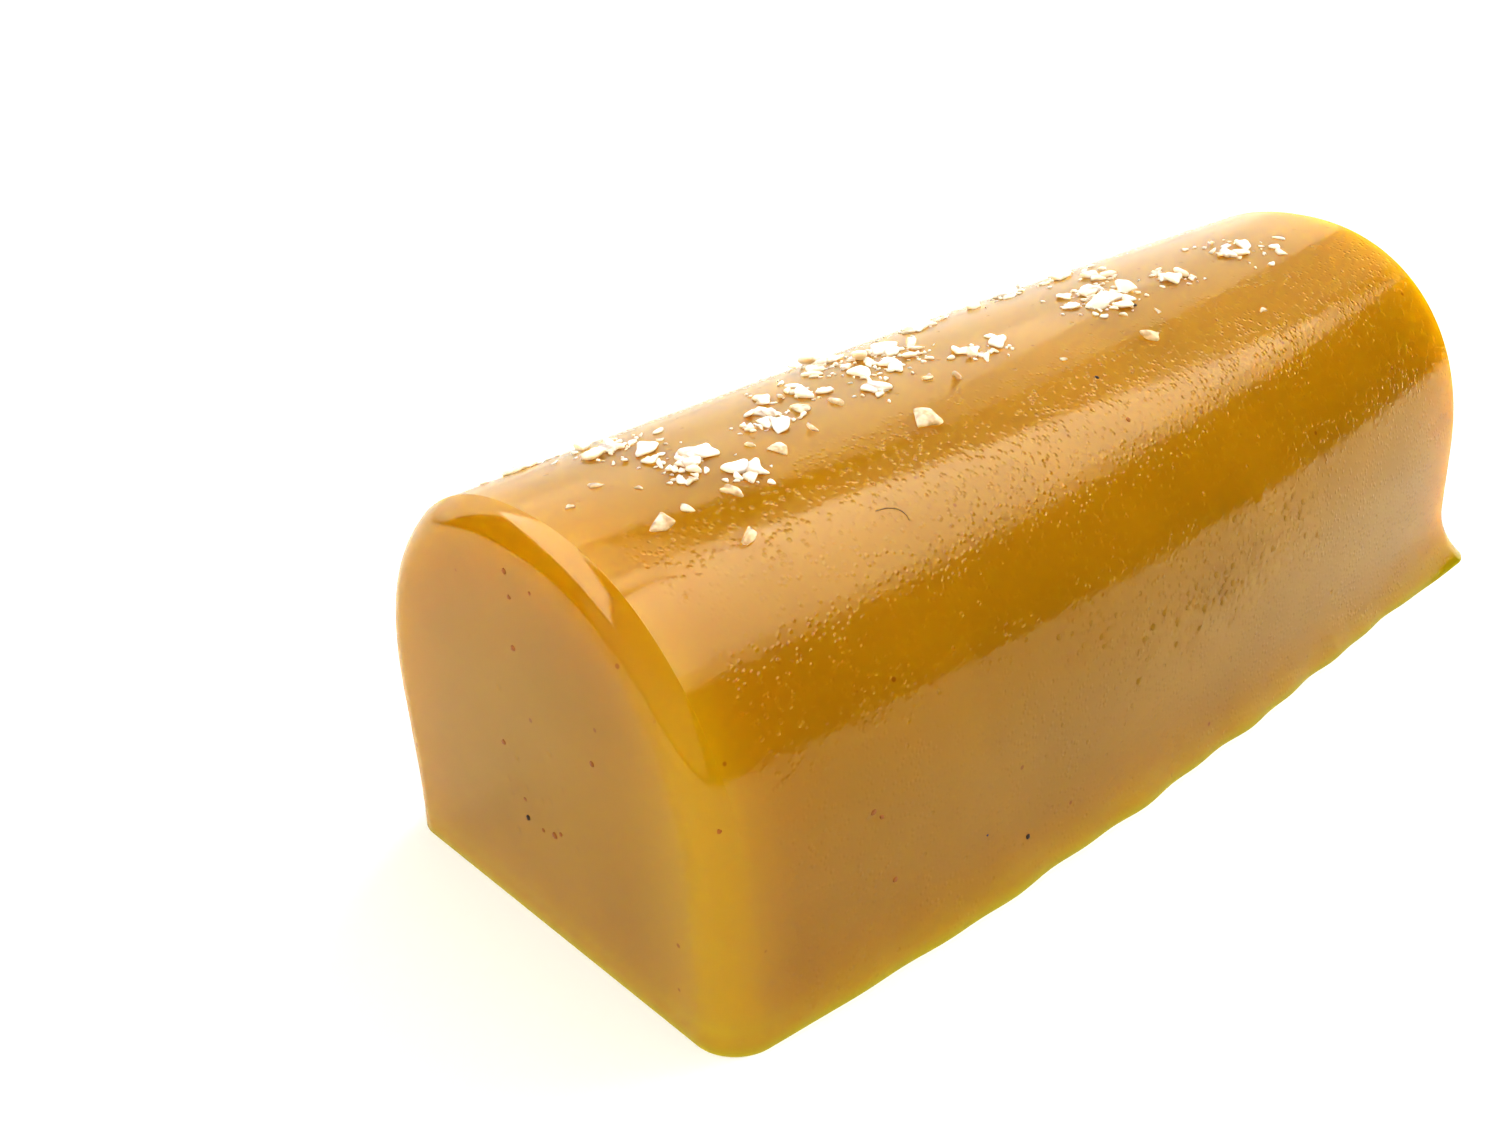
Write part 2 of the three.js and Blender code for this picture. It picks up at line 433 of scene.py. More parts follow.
@dataclass(frozen=True)
class CaramelFinish:
    """Soft caramel: light sinks in and comes back amber, under a glossy, finely pimpled skin."""

    colour: Colour = (0.376, 0.205, 0.006)
    deep_colour: Colour = (0.354, 0.192, 0.005)
    painted_glow: Colour = (0.400, 0.252, 0.008)      # painted glow: lighter at the near corner and the slumped rim, where light would come through
    painted_glow_end: Pair = (-38.0 * MM, -33.0 * MM)     # the painted glow's corner: along the bar,
    painted_glow_side: Pair = (-14.5 * MM, -7.0 * MM)     # and across it
    painted_glow_rim: Pair = (24.0 * MM, 37.0 * MM)       # the painted glow on the slumped end's rim: along the bar,
    painted_glow_above: Pair = (12.0 * MM, 19.0 * MM)     # and up
    foot_shade: Colour = (0.380, 0.150, 0.006)        # painted shade: redder and darker where the foot runs out thin, to damp the light that shines through it
    foot_shade_rise: Pair = (0.3 * MM, 1.6 * MM)
    reach: Colour = (21.0, 15.5, 1.3)           # how far red, green and blue light travel, mm
    roughness: float = 0.11
    refraction: float = 1.5
    cloud: float = 9.0 * MM             # width of the soft clouds in its colour
    pimple: float = 0.40 * MM           # distance between the skin's pimples
    pimple_edge: float = 0.48           # how far a pimple reaches, as a share of that distance
    pimple_height: float = 0.027 * MM
    pimple_patch: float = 4.0 * MM      # width of the patches where they are stronger
    pimple_strength: Pair = (0.35, 1.0)         # between those patches, and in them
    smooth_top: Pair = (3.5 * MM, 6.5 * MM)     # distance from the ridge where they begin
    smooth_rim: Pair = (33.5 * MM, 35.5 * MM)   # and from the middle where they end
    dent: float = 1.5 * MM              # distance between small deep dents
    dent_edge: Pair = (0.03, 0.12)      # a dent's floor and its edge, as shares of that distance
    dent_depth: float = 0.03 * MM
    ripple: float = 1.6 * MM            # width of the skin's low ripples
    ripple_height: float = 0.010 * MM
    grain: float = 3.1 * MM             # distance between grains of browned sugar
    grain_edge: Pair = (0.03, 0.06)     # where a grain fades, as shares of that distance
    grain_cover: float = 0.8
    grain_colour: Colour = (0.25, 0.10, 0.003)

    def tone(self, bench: NodeBench) -> Socket:
        """Adds the caramel's colour: cloudy, with a painted glow at the near corner and the slumped rim, a
        painted shade at the thin foot, and grained with browned sugar.

        Args:
            bench: The material's nodes.

        Returns:
            The colour.
        """
        along, across, up = (bench.along(axis) for axis in Axis)
        # painted glow: masks of the near corner and the slumped rim, where the colour is made lighter for
        # light that comes through
        corner = bench.product(bench.ranged(along, self.painted_glow_end, FALLING),
                               bench.ranged(across, self.painted_glow_side, FALLING))
        rim = bench.product(bench.ranged(along, self.painted_glow_rim, RISING),
                            bench.ranged(up, self.painted_glow_above, RISING))
        grains = bench.ranged(bench.cells(self.grain), self.grain_edge, (self.grain_cover, 0.0))
        layers = (
            (bench.ranged(bench.noise(self.cloud), NOISE_SPAN, RISING), self.deep_colour),
            (bench.reckoned("MAXIMUM", corner, rim), self.painted_glow),
            # painted shade: the foot's colour, towards the base
            (bench.ranged(up, self.foot_shade_rise, FALLING), self.foot_shade),
            (grains, self.grain_colour),
        )
        colour = self.colour
        for share, layer in layers:
            colour = bench.mixed(share, colour, layer)
        return colour

    def relief(self, bench: NodeBench) -> Socket:
        """Adds the skin's relief: low ripples, pimples away from the ridge and the rims, and small dents.

        Args:
            bench: The material's nodes.

        Returns:
            The normal.
        """
        inland = bench.ranged(bench.off_middle(Axis.X), self.smooth_rim, FALLING)
        flank = bench.ranged(bench.off_middle(Axis.Y), self.smooth_top, RISING)
        patches = bench.ranged(bench.noise(self.pimple_patch), NOISE_SPAN, self.pimple_strength)
        patches = bench.product(patches, bench.product(flank, inland))
        pimples = bench.ranged(bench.cells(self.pimple), (0.0, self.pimple_edge), FALLING)
        dents = bench.ranged(bench.cells(self.dent), self.dent_edge, (-1.0, 0.0))
        rippled = bench.bump(bench.noise(self.ripple), self.ripple_height)
        pimpled = bench.bump(bench.product(pimples, patches), self.pimple_height, rippled)
        return bench.bump(bench.product(dents, inland), self.dent_depth, pimpled)

    def material(self) -> bpy.types.Material:
        """Makes the finish.

        Returns:
            The finish as a material.
        """
        bench = NodeBench("caramel")
        return bench.settle(
            Base_Color=self.tone(bench), Normal=self.relief(bench), Roughness=self.roughness,
            IOR=self.refraction, Subsurface_Weight=1.0, Subsurface_Radius=self.reach, Subsurface_Scale=MM,
        )


@dataclass(frozen=True)
class SaltFinish:
    """Crushed sea salt: white where it is cracked inside, and where it is clear, tinted by what is below."""

    colour: Colour = (0.88, 0.81, 0.70)
    tinted: Colour = (0.76, 0.65, 0.50)
    reach: Colour = (0.45, 0.40, 0.33)  # how far red, green and blue light travel in it, mm
    glow_colour: Colour = (1.0, 0.72, 0.42)
    glow: float = 0.15                  # painted glow: the salt's own emission, standing in for the caramel's light that comes up through it
    cover: Pair = (0.95, 0.25)          # how much the whitest and the clearest grain hide what is below
    roughness: float = 0.25
    refraction: float = 1.54
    shine: float = 0.3
    crack: float = 0.7 * MM             # width of the cloudy cracks inside
    crack_clearness: Pair = (0.5, 1.0)  # what a grain keeps of its clearness in a crack, and between them
    facet: float = 0.3 * MM             # width of the broken steps on its faces
    facet_height: float = 0.015 * MM

    def material(self, name: str) -> bpy.types.Material:
        """Makes the finish.

        Args:
            name: The material's name.

        Returns:
            The finish as a material, for pieces that have the attribute clearness.
        """
        bench = NodeBench(name)
        cracks = bench.ranged(bench.noise(self.crack), NOISE_SPAN, self.crack_clearness)
        clear = bench.product(bench.attribute("clearness"), cracks)
        return bench.settle(
            Base_Color=bench.mixed(clear, self.colour, self.tinted), Roughness=self.roughness,
            Normal=bench.bump(bench.cells(self.facet), self.facet_height),
            IOR=self.refraction, Specular_IOR_Level=self.shine,
            Alpha=bench.ranged(clear, RISING, self.cover, smooth=False),
            # painted glow: a faint warm emission of the salt
            Emission_Color=self.glow_colour, Emission_Strength=self.glow,
            Subsurface_Weight=1.0, Subsurface_Radius=self.reach, Subsurface_Scale=MM,
        )


@dataclass(frozen=True)
class SpeckFinish:
    """A small mark in the caramel's skin, uneven in its colour: a speck, a hair, or the painted shade of a
    pit.
    """

    colour: Colour
    rim_colour: Colour
    roughness: float
    shine: float = 0.5
    patch: float = 0.15 * MM            # width of the patches of the second colour
    relief: float = 0.01 * MM

    def material(self, name: str) -> bpy.types.Material:
        """Makes the finish.

        Args:
            name: The material's name.

        Returns:
            The finish as a material.
        """
        bench = NodeBench(name)
        spots = bench.noise(self.patch)
        return bench.settle(
            Base_Color=bench.mixed(spots, self.colour, self.rim_colour), Roughness=self.roughness,
            Specular_IOR_Level=self.shine, Normal=bench.bump(spots, self.relief),
        )


BURNT_FINISH = SpeckFinish((0.02, 0.015, 0.008), (0.06, 0.03, 0.01), roughness=0.6)
TOFFEE_FINISH = SpeckFinish((0.30, 0.10, 0.01), (0.36, 0.15, 0.01), roughness=0.25)
# painted shade: darker, dull marks that stand in for the shade in small pits
PIT_SHADE_FINISH = SpeckFinish((0.31, 0.172, 0.008), (0.34, 0.190, 0.010), roughness=0.7, shine=0.05)
LINT_FINISH = SpeckFinish((0.20, 0.12, 0.04), (0.26, 0.16, 0.06), roughness=0.5)


@dataclass(frozen=True)
class SheetFinish:
    """A pale, matt sheet with hardly any clouds in its tone, which lets light through from below."""

    tint: Colour = (1.0, 1.0, 0.93)
    brightness: float = 0.52
    dull: float = 0.98                  # brightness in the clouds, as a share
    cloud: float = 60.0 * MM
    cloud_span: Pair = (0.3, 0.7)
    roughness: float = 0.9
    shine: float = 0.2
    glow: float = 0.43                  # light that comes through it from below

    def material(self) -> bpy.types.Material:
        """Makes the finish.

        Returns:
            The finish as a material.
        """
        bench = NodeBench("sheet")
        clouds = bench.ranged(bench.noise(self.cloud), self.cloud_span, RISING)
        levels = (self.brightness, self.brightness * self.dull)
        pale, dull = (tuple(part * level for part in self.tint) for level in levels)
        return bench.settle(
            Base_Color=bench.mixed(clouds, pale, dull), Roughness=self.roughness,
            Specular_IOR_Level=self.shine, Emission_Color=self.tint, Emission_Strength=self.glow,
        )


# ---------------------------------------------------------------- form of the bar


@dataclass(frozen=True)
class BarEnd:
    """One end of the bar."""

    rim_scale: float    # how large its rim is, where the crisp end's is 1
    flare: float        # how far the foot spreads past the end, in metres


@dataclass(frozen=True)
class Rim:
    """The rim's curve from the dome to the flat end: steep at first, where a line shows, and then softer."""

    depth: float = 1.5 * MM
    width: float = 2.5 * MM
    power: float = 3.0
    crowding: float = 1.5       # above 1, the rim's rows lie closer together near the dome


@dataclass(frozen=True)
class FootWave:
    """A wave in the foot's spread: its share of the spread, its length, and the turn at which it starts."""

    share: float
    length: float
    shift: float


@dataclass(frozen=True)
class BarForm:
    """The bar's outer form, in metres, over box coordinates u along, v across and w up."""

    length: float
    width: float = 28.8 * MM            # straight sides, mean of both ends
    height: float = 25.0 * MM           # to the ridge of the dome
    shoulder: float = 9.3 * MM          # height of the straight sides
    dome_power: float = 2.2             # 2 would make the dome an ellipse
    bow: float = 1.7 * MM               # bulge of each long side at mid-length
    taper: float = 0.035                # share by which the crisp end is wider
    corner: float = 2.4 * MM            # rounding of the upright corners at the base
    corner_reach: float = 22.0 * MM     # height by which it has turned into the rim's
    rim: Rim = Rim()
    crisp: BarEnd = BarEnd(1.0, 0.1 * MM)
    slumped: BarEnd = BarEnd(1.7, 1.6 * MM)
    foot_height: float = 4.5 * MM       # the lowest part spreads outwards
    side_flare: float = 0.5 * MM
    end_flare_from: float = 0.5         # share of the half length where the ends' flare starts to take over
    foot_waves: tuple[FootWave, ...] = (FootWave(0.2, 13.0 * MM, 0.0), FootWave(0.15, 5.7 * MM, 1.3))
    side_share: float = 0.42            # share of w that climbs the straight side
    foot_crowding: float = 1.3          # above 1, the rows lie closer together near the base
    slope_step: float = 0.2 * MM        # over which the dome's slope is measured

    def half_length(self, x: Values) -> Values:
        """Returns half the bar's length above the foot, on the side of x."""
        return self.length / 2 - np.where(x < 0, self.crisp.flare, self.slumped.flare)

    def half_width(self, x: Values) -> Values:
        """Returns half the bar's width at x, below the shoulder."""
        along = x / self.half_length(x)
        return self.width / 2 * (1 - self.taper * along) + self.bow * (1 - along * along)

    def dome_height(self, x: Values, y: Values) -> Values:
        """Measures the dome.

        Args:
            x: Places along the bar.
            y: Places across it.

        Returns:
            The dome's height above the points (x, y).
        """
        across = np.minimum(1.0, np.abs(y) / self.half_width(x))
        rise = (1 - across ** self.dome_power) ** (1 / self.dome_power)
        return self.shoulder + (self.height - self.shoulder) * rise

    def dome_normal(self, x: float, y: float) -> Vector:
        """Finds which way the dome faces.

        Args:
            x: Place along the bar.
            y: Place across it.

        Returns:
            The outward direction above (x, y).
        """
        step = self.slope_step
        slope_x = (self.dome_height(x + step, y) - self.dome_height(x - step, y)) / (2 * step)
        slope_y = (self.dome_height(x, y + step) - self.dome_height(x, y - step)) / (2 * step)
        return Vector((-slope_x, -slope_y, 1.0)).normalized()

    def section(self, v: np.ndarray, w: np.ndarray) -> tuple[np.ndarray, ...]:
        """Places box coordinates in the bar's section.

        Args:
            v: Across, -1 to 1.
            w: Up, 0 to 1.

        Returns:
            The share across, the share up the dome, the height, and how far out from the middle to the skin.
        """
        up = np.clip((w - self.side_share) / (1 - self.side_share), 0, 1)
        across = v * np.sqrt(1 - up * up / 2)
        rise = up * np.sqrt(1 - v * v / 2)
        out = np.hypot(across, rise)
        norm = (np.abs(across) ** self.dome_power + rise ** self.dome_power) ** (1 / self.dome_power)
        swell = out / np.maximum(norm, TINY)
        side = w < self.side_share
        across = np.where(side, v, across * swell)
        rise = np.where(side, 0.0, rise * swell)
        low = self.shoulder * np.clip(w / self.side_share, 0, 1) ** self.foot_crowding
        high = self.shoulder + (self.height - self.shoulder) * rise
        return across, rise, np.where(side, low, high), out

    def foot_spread(self, u: np.ndarray, z: np.ndarray, x: np.ndarray, y: np.ndarray) -> np.ndarray:
        """Finds how far the foot spreads.

        Args:
            u: Box coordinates along the bar.
            z: Heights.
            x: Places along the bar, for the waves.
            y: Places across it.

        Returns:
            The spread at each point.
        """
        wave = np.zeros_like(x)
        for each in self.foot_waves:
            wave += each.share * np.sin(2 * math.pi * (x + y) / each.length + each.shift)
        side = self.side_flare * (1 + wave * (1 - u * u))
        end = np.where(u < 0, self.crisp.flare, self.slumped.flare)
        spread = blended(side, end, smoothstep(np.abs(u), self.end_flare_from, 1.0))
        return spread * (1 - np.minimum(z, self.foot_height) / self.foot_height) ** 2

    def rim_depth(self, inset: Values, scale: Values) -> Values:
        """Returns how deep the rim lies below the end's plane at an inset from the dome."""
        past = np.minimum(1.0, inset / scale / self.rim.width)
        return scale * self.rim.depth * (1 - past) ** self.rim.power

    def surface(self, box: np.ndarray, straight: float) -> np.ndarray:
        """Carries points of a box to the bar's surface.

        Args:
            box: Rows u, v and w, where u and v run from -1 to 1, and w from 0 to 1.
            straight: Share of u that the bar takes between the rims of its two ends.

        Returns:
            Rows x, y and z.
        """
        u, v, w = box.T
        scale = np.where(u < 0, self.crisp.rim_scale, self.slumped.rim_scale)
        across, rise, z, out = self.section(v, w)
        low = 1 - smoothstep(z, 0.0, self.corner_reach)
        past = np.maximum(0, np.abs(u) - straight) / (1 - straight)
        turn = past * math.pi / 2
        rim_inset = scale * self.rim.width * past ** self.rim.crowding
        inset = blended(rim_inset, self.corner * (1 - np.cos(turn)), low)
        from_dome = rim_inset + (1 - out) * self.width / 2
        depth = blended(self.rim_depth(from_dome, scale), self.corner * (1 - np.sin(turn)), low)

        start = blended(self.rim_depth(0.0, scale), self.corner, low)
        middle = (self.half_length(u) - start) * np.minimum(np.abs(u), straight) / straight
        x = np.sign(u) * np.where(past > 0, self.half_length(u) - depth, middle)
        y = across * (self.half_width(x) - inset)
        z = z - rise * inset
        spread = self.foot_spread(u, z, x, y)
        return np.column_stack((x + u * spread, y + v * spread, z))


# ---------------------------------------------------------------- caramel bar


@dataclass(frozen=True)
class Pit:
    """A small dent that a bubble left, or a bump over one that is still there."""

    x: float
    y: float
    z: float
    radius: float
    depth: float    # inwards where it is above 0


@dataclass(frozen=True)
class PitPatch:
    """A patch of pits on one face: its middle, its half sizes, and how many there are, how wide and deep."""

    middle: Place
    spread: Place
    pits: int
    scatter: float = 0.5                # how far the pits usually lie from the middle, in half sizes
    radius: Pair = (0.10 * MM, 0.22 * MM)
    depth: float = 0.05 * MM
    depth_share: Pair = (0.6, 1.2)      # how much of that depth a pit has

    def draw(self, random: np.random.Generator) -> list[Pit]:
        """Draws the patch's pits.

        Args:
            random: A seeded generator.

        Returns:
            The pits.
        """
        found = []
        for _ in range(self.pits):
            place = np.array(self.middle) + np.array(self.spread) * random.normal(0.0, self.scatter, 3)
            radius = random.uniform(*self.radius)
            found.append(Pit(*place, radius, self.depth * random.uniform(*self.depth_share)))
        return found


@dataclass
class CaramelBar:
    """The cast bar: a box whose grid is carried to the bar's form, then pitted and dressed."""

    form: BarForm
    finish: CaramelFinish
    long_parts: tuple[int, int] = (16, 15)      # the long edges are cut twice
    across_parts: int = 84
    up_parts: int = 72
    rim_parts: int = 16
    crease_angle: float = 12.0                  # degrees from which an edge stays sharp
    underside: float = -0.999                   # below this height, a face of the modelling cube is its base
    fine_reach: float = 1.5                     # the faces are finer within this many radii of a pit,
    fine_margin: float = 0.2 * MM               # and this far past that
    fine_cuts: int = 2
    pit_reach: float = 2.5                      # radii within which a pit presses the skin in
    pit_steepness: float = 1.6                  # of its hollow, which is bell-shaped
    seed: int = 7
    chipped: Pit = Pit(-28.4 * MM, -15.7 * MM, 10.1 * MM, 0.42 * MM, 0.12 * MM)
    bubble: Pit = Pit(6.2 * MM, -15.1 * MM, 15.3 * MM, 0.6 * MM, -0.06 * MM)
    patches: tuple[PitPatch, ...] = (
        PitPatch((3.0 * MM, -16.0 * MM, 10.5 * MM), (9.0 * MM, 0.0, 2.2 * MM), 90),
        PitPatch((-8.0 * MM, -16.0 * MM, 7.5 * MM), (14.0 * MM, 0.0, 3.5 * MM), 16),
        PitPatch((15.0 * MM, -15.6 * MM, 6.0 * MM), (10.0 * MM, 0.0, 3.0 * MM), 14),
        PitPatch((4.0 * MM, 16.0 * MM, 8.5 * MM), (18.0 * MM, 0.0, 4.0 * MM), 60),
        PitPatch((-38.2 * MM, -2.0 * MM, 9.0 * MM), (0.0, 7.0 * MM, 5.0 * MM), 12),
        PitPatch((36.7 * MM, 0.0, 9.0 * MM), (0.0, 7.0 * MM, 5.0 * MM), 16),
    )

    def pits(self) -> list[Pit]:
        """Returns every pit and bump of the skin."""
        random = np.random.default_rng(self.seed)
        return [pit for patch in self.patches for pit in patch.draw(random)] + [self.chipped, self.bubble]

    def straight(self) -> float:
        """Returns the share of the box's length that lies between the rims."""
        return 1 - 2 * self.rim_parts / math.prod(self.long_parts)

    def carried(self, places: np.ndarray) -> np.ndarray:
        """Returns points of the modelling cube, -1 to 1 each way, on the bar's surface."""
        return self.form.surface(places * (1, 1, 0.5) + (0, 0, 0.5), self.straight())

    def cast(self) -> bpy.types.Object:
        """Models the bar from a cube: its edges are cut to a grid, and the grid carried to the bar's form.

        Returns:
            The bar's object, without pits or finish.
        """
        bpy.ops.object.select_all(action="DESELECT")
        bpy.ops.mesh.primitive_cube_add(size=2.0)
        bar = bpy.context.object
        bar.name = bar.data.name = "caramel"
        for parts in self.long_parts:
            split_along(bar, Axis.X, parts)
        split_along(bar, Axis.Y, self.across_parts)
        split_along(bar, Axis.Z, self.up_parts)
        self.clear_base(bar)
        self.refine(bar)
        move_corners(bar.data, self.carried(rows_of(bar.data.vertices, "co")))
        return bar

    def clear_base(self, bar: bpy.types.Object) -> None:
        """Makes the cube's hidden underside one face again, because it stays flat.

        Args:
            bar: The cube.
        """
        under = rows_of(bar.data.polygons, "center")[:, 2] < self.underside
        with editing(bar, SelectBy.FACE, under):
            bpy.ops.mesh.dissolve_faces()

    def refine(self, bar: bpy.types.Object) -> None:
        """Splits the faces round each pit, so that the pit's form has enough of them.

        Args:
            bar: The cube.
        """
        places = rows_of(bar.data.polygons, "center")
        middles = self.carried(places)
        near = np.zeros(len(middles), bool)
        for pit in self.pits():
            apart = np.linalg.norm(middles - (pit.x, pit.y, pit.z), axis=1)
            near |= apart < pit.radius * self.fine_reach + self.fine_margin
        near &= places[:, 2] > self.underside
        with editing(bar, SelectBy.FACE, near):
            bpy.ops.mesh.subdivide(number_cuts=self.fine_cuts)

    def dent(self, bar: bpy.types.Object) -> None:
        """Presses each pit into the skin as a soft hollow, and raises each bump.

        Args:
            bar: The cast bar.
        """
        places = rows_of(bar.data.vertices, "co")
        depth = np.zeros(len(places))
        for pit in self.pits():
            apart = np.linalg.norm(places - (pit.x, pit.y, pit.z), axis=1) / pit.radius
            inside = apart < self.pit_reach
            depth[inside] += pit.depth * np.exp(-(apart[inside] ** 2) * self.pit_steepness)
        move_corners(bar.data, places - rows_of(bar.data.vertices, "normal") * depth[:, None])

    def build(self) -> bpy.types.Object:
        """Builds the bar.

        Returns:
            The finished bar, riding on the part's body.
        """
        bar = self.cast()
        self.dent(bar)
        select_only(bar)
        bpy.ops.object.shade_smooth_by_angle(angle=math.radians(self.crease_angle))
        bar.data.materials.append(self.finish.material())
        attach(bar, "root")
        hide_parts(CAD_NODE)
        return bar


# ---------------------------------------------------------------- sea salt


@dataclass
class FixedDraws:
    """A fixed series of numbers from 0 to 1, the same as the solid's."""

    state: int
    factor: int = 48271
    modulus: int = 2147483647

    def next(self) -> float:
        """Returns the next number."""
        self.state = self.state * self.factor % self.modulus
        return self.state / self.modulus

    def around(self) -> float:
        """Returns the next number around 0 with a spread of 1."""
        return 2 * (self.next() + self.next() + self.next() - 1.5)


@dataclass(frozen=True)
class Drift:
    """A drift of salt: where it lies, how many grains it has and how far they scatter, in millimetres."""

    x: float
    y: float
    grains: int
    along: float
    across: float


@dataclass(frozen=True)
class Stray:
    """A grain that lies by itself: its place and size, in millimetres."""

    x: float
    y: float
    size: float


@dataclass(frozen=True)
class Grain:
    """One grain's place, size and turn, in metres and radians."""

    x: float
    y: float
    size: float
    thickness: float
    slimness: float
    tilt: float
    heading: float
    spin: float
    clearness: float


@dataclass
class CoarseSalt:
    """The coarse grains of the solid, rounded off and with broken faces."""

    form: BarForm
    finish: SaltFinish
    name: str = "sea_salt"
    seed: int = 21223
    drifts: tuple[Drift, ...] = (
        Drift(-32.6, 6.4, 3, 1.5, 0.2),
        Drift(-28.6, 3.3, 13, 1.1, 1.3),
        Drift(-28.0, -2.0, 10, 0.8, 0.8),
        Drift(-25.6, -4.3, 4, 0.5, 0.5),
        Drift(-21.4, -0.8, 7, 1.2, 0.6),
        Drift(-17.3, 1.6, 5, 1.2, 1.2),
        Drift(-12.2, 3.3, 15, 1.1, 1.8),
        Drift(-12.9, -1.4, 4, 0.9, 0.7),
        Drift(-8.2, 1.2, 14, 1.1, 1.2),
        Drift(-4.3, -1.9, 5, 1.0, 0.7),
        Drift(-2.0, 5.0, 5, 3.0, 0.8),
        Drift(5.4, 4.9, 5, 2.4, 0.4),
        Drift(7.6, -1.2, 18, 1.4, 1.1),
        Drift(12.3, 3.0, 6, 1.6, 1.8),
        Drift(15.0, -2.2, 5, 0.9, 1.0),
        Drift(23.2, -1.8, 8, 1.3, 1.5),
    )
    strays: tuple[Stray, ...] = (
        Stray(-34.9, -1.6, 0.7),
        Stray(-32.5, -0.7, 1.1),
        Stray(-31.1, -2.2, 0.6),
        Stray(-32.2, -5.4, 1.7),
        Stray(-30.4, -5.2, 1.1),
        Stray(-29.0, -8.0, 1.5),
        Stray(-27.5, -5.2, 1.4),
        Stray(-22.8, -3.6, 1.3),
        Stray(-19.9, -3.2, 1.1),
        Stray(-18.6, -0.9, 1.6),
        Stray(-16.4, -1.4, 1.2),
        Stray(-13.8, -5.9, 2.0),
        Stray(-10.0, -2.6, 1.2),
        Stray(-8.8, -3.6, 1.3),
        Stray(-1.4, -5.6, 0.6),
        Stray(6.0, -6.5, 1.7),
        Stray(9.3, -4.8, 0.8),
        Stray(16.7, -7.9, 0.9),
    )
    wider: float = 1.0                  # how much further they scatter than a drift says
    reach: Pair = (35.0 * MM, 9.0 * MM)  # no grain lies further out than this
    largest: float = 1.9 * MM
    smallest: float = 0.6 * MM
    large_from: float = 1.2 * MM
    sides: tuple[int, int] = (7, 5)     # of large and small grains
    slimness: Pair = (0.45, 0.85)
    thickness: Pair = (0.18, 0.32)      # as a share of the grain's size
    chipping: Pair = (0.35, 0.25)       # how ragged the outline and the faces are
    tilts: Pair = (0.2, 0.8)            # of a flat and a leaning grain, in radians at most
    leaning_share: float = 0.25
    stand: float = 0.35                 # of its half height, how far a grain's middle is above the caramel
    stray_clearness: float = 0.9
    drift_clearness: Pair = (0.0, 0.8)  # of a drift's largest and smallest grain
    cap_draws: int = 4                  # draws that the solid's two cap middles take
    swell: float = 1.28                 # makes up for what the rounded edges take off
    rounding: int = 2                   # how often a prism is rounded off before its faces are broken
    chip: float = 0.12 * MM             # how far its faces are broken in or out
    chip_width: float = 0.45 * MM
    facet_angle: float = 32.0           # degrees from which an edge stays sharp

    def grain_at(self, x: float, y: float, size: float, clearness: float, draws: FixedDraws) -> Grain:
        """Draws a grain's thickness, slimness and turn.

        Args:
            x: Its place along the bar.
            y: Its place across it.
            size: Its width.
            clearness: How clear it is, 0 to 1.
            draws: The series of numbers.

        Returns:
            The grain.
        """
        thickness = size * blended(*self.thickness, draws.next())
        slimness = blended(*self.slimness, draws.next())
        leaning = self.tilts[draws.next() < self.leaning_share]
        tilt = leaning * draws.next()
        heading = draws.next() * 2 * math.pi
        spin = draws.next() * 2 * math.pi
        return Grain(x, y, size, thickness, slimness, tilt, heading, spin, clearness)

    def place_in(self, drift: Drift, draws: FixedDraws) -> Pair:
        """Draws a place in a drift.

        Args:
            drift: The drift.
            draws: The series of numbers.

        Returns:
            The place's x and y, in metres and within reach.
        """
        x = (drift.x + drift.along * self.wider * draws.around()) * MM
        y = (drift.y + drift.across * self.wider * draws.around()) * MM
        return min(max(x, -self.reach[0]), self.reach[0]), min(max(y, -self.reach[1]), self.reach[1])

    def scatter(self, draws: FixedDraws) -> list[Grain]:
        """Scatters the grains: the strays, and then drift by drift, the largest first.

        Args:
            draws: The series of numbers.

        Returns:
            Every grain's pose.
        """
        grains = []
        for stray in self.strays:
            x, y, size = (value * MM for value in astuple(stray))
            grains.append(self.grain_at(x, y, size, self.stray_clearness, draws))
        for drift in self.drifts:
            for i in range(drift.grains):
                x, y = self.place_in(drift, draws)
                size = blended(self.largest, self.smallest, i / drift.grains)
                clearness = blended(*self.drift_clearness, i / drift.grains)
                grains.append(self.grain_at(x, y, size, clearness, draws))
        return grains

    def outline(self, grain: Grain, draws: FixedDraws) -> tuple[list[Vector], int]:
        """Draws a grain's corners: a low prism with a ragged outline and uneven faces.

        Args:
            grain: The grain's sizes.
            draws: The series of numbers.

        Returns:
            The corners, top ring first and then the bottom ring, and how many sides it has.
        """
        sides = self.sides[0] if grain.size > self.large_from else self.sides[1]
        corners = []
        for ring in (1, -1):
            for side in range(sides):
                angle = 2 * math.pi * side / sides
                reach = self.swell * (1 + self.chipping[0] * (0.5 - draws.next()))
                rise = self.swell * (1 - self.chipping[1] * draws.next())
                corners.append(Vector((
                    math.sin(angle) * grain.size / 2 * reach,
                    -math.cos(angle) * grain.size / 2 * reach * grain.slimness,
                    ring * grain.thickness / 2 * rise,
                )))
        for _ in range(self.cap_draws):
            draws.next()
        return corners, sides

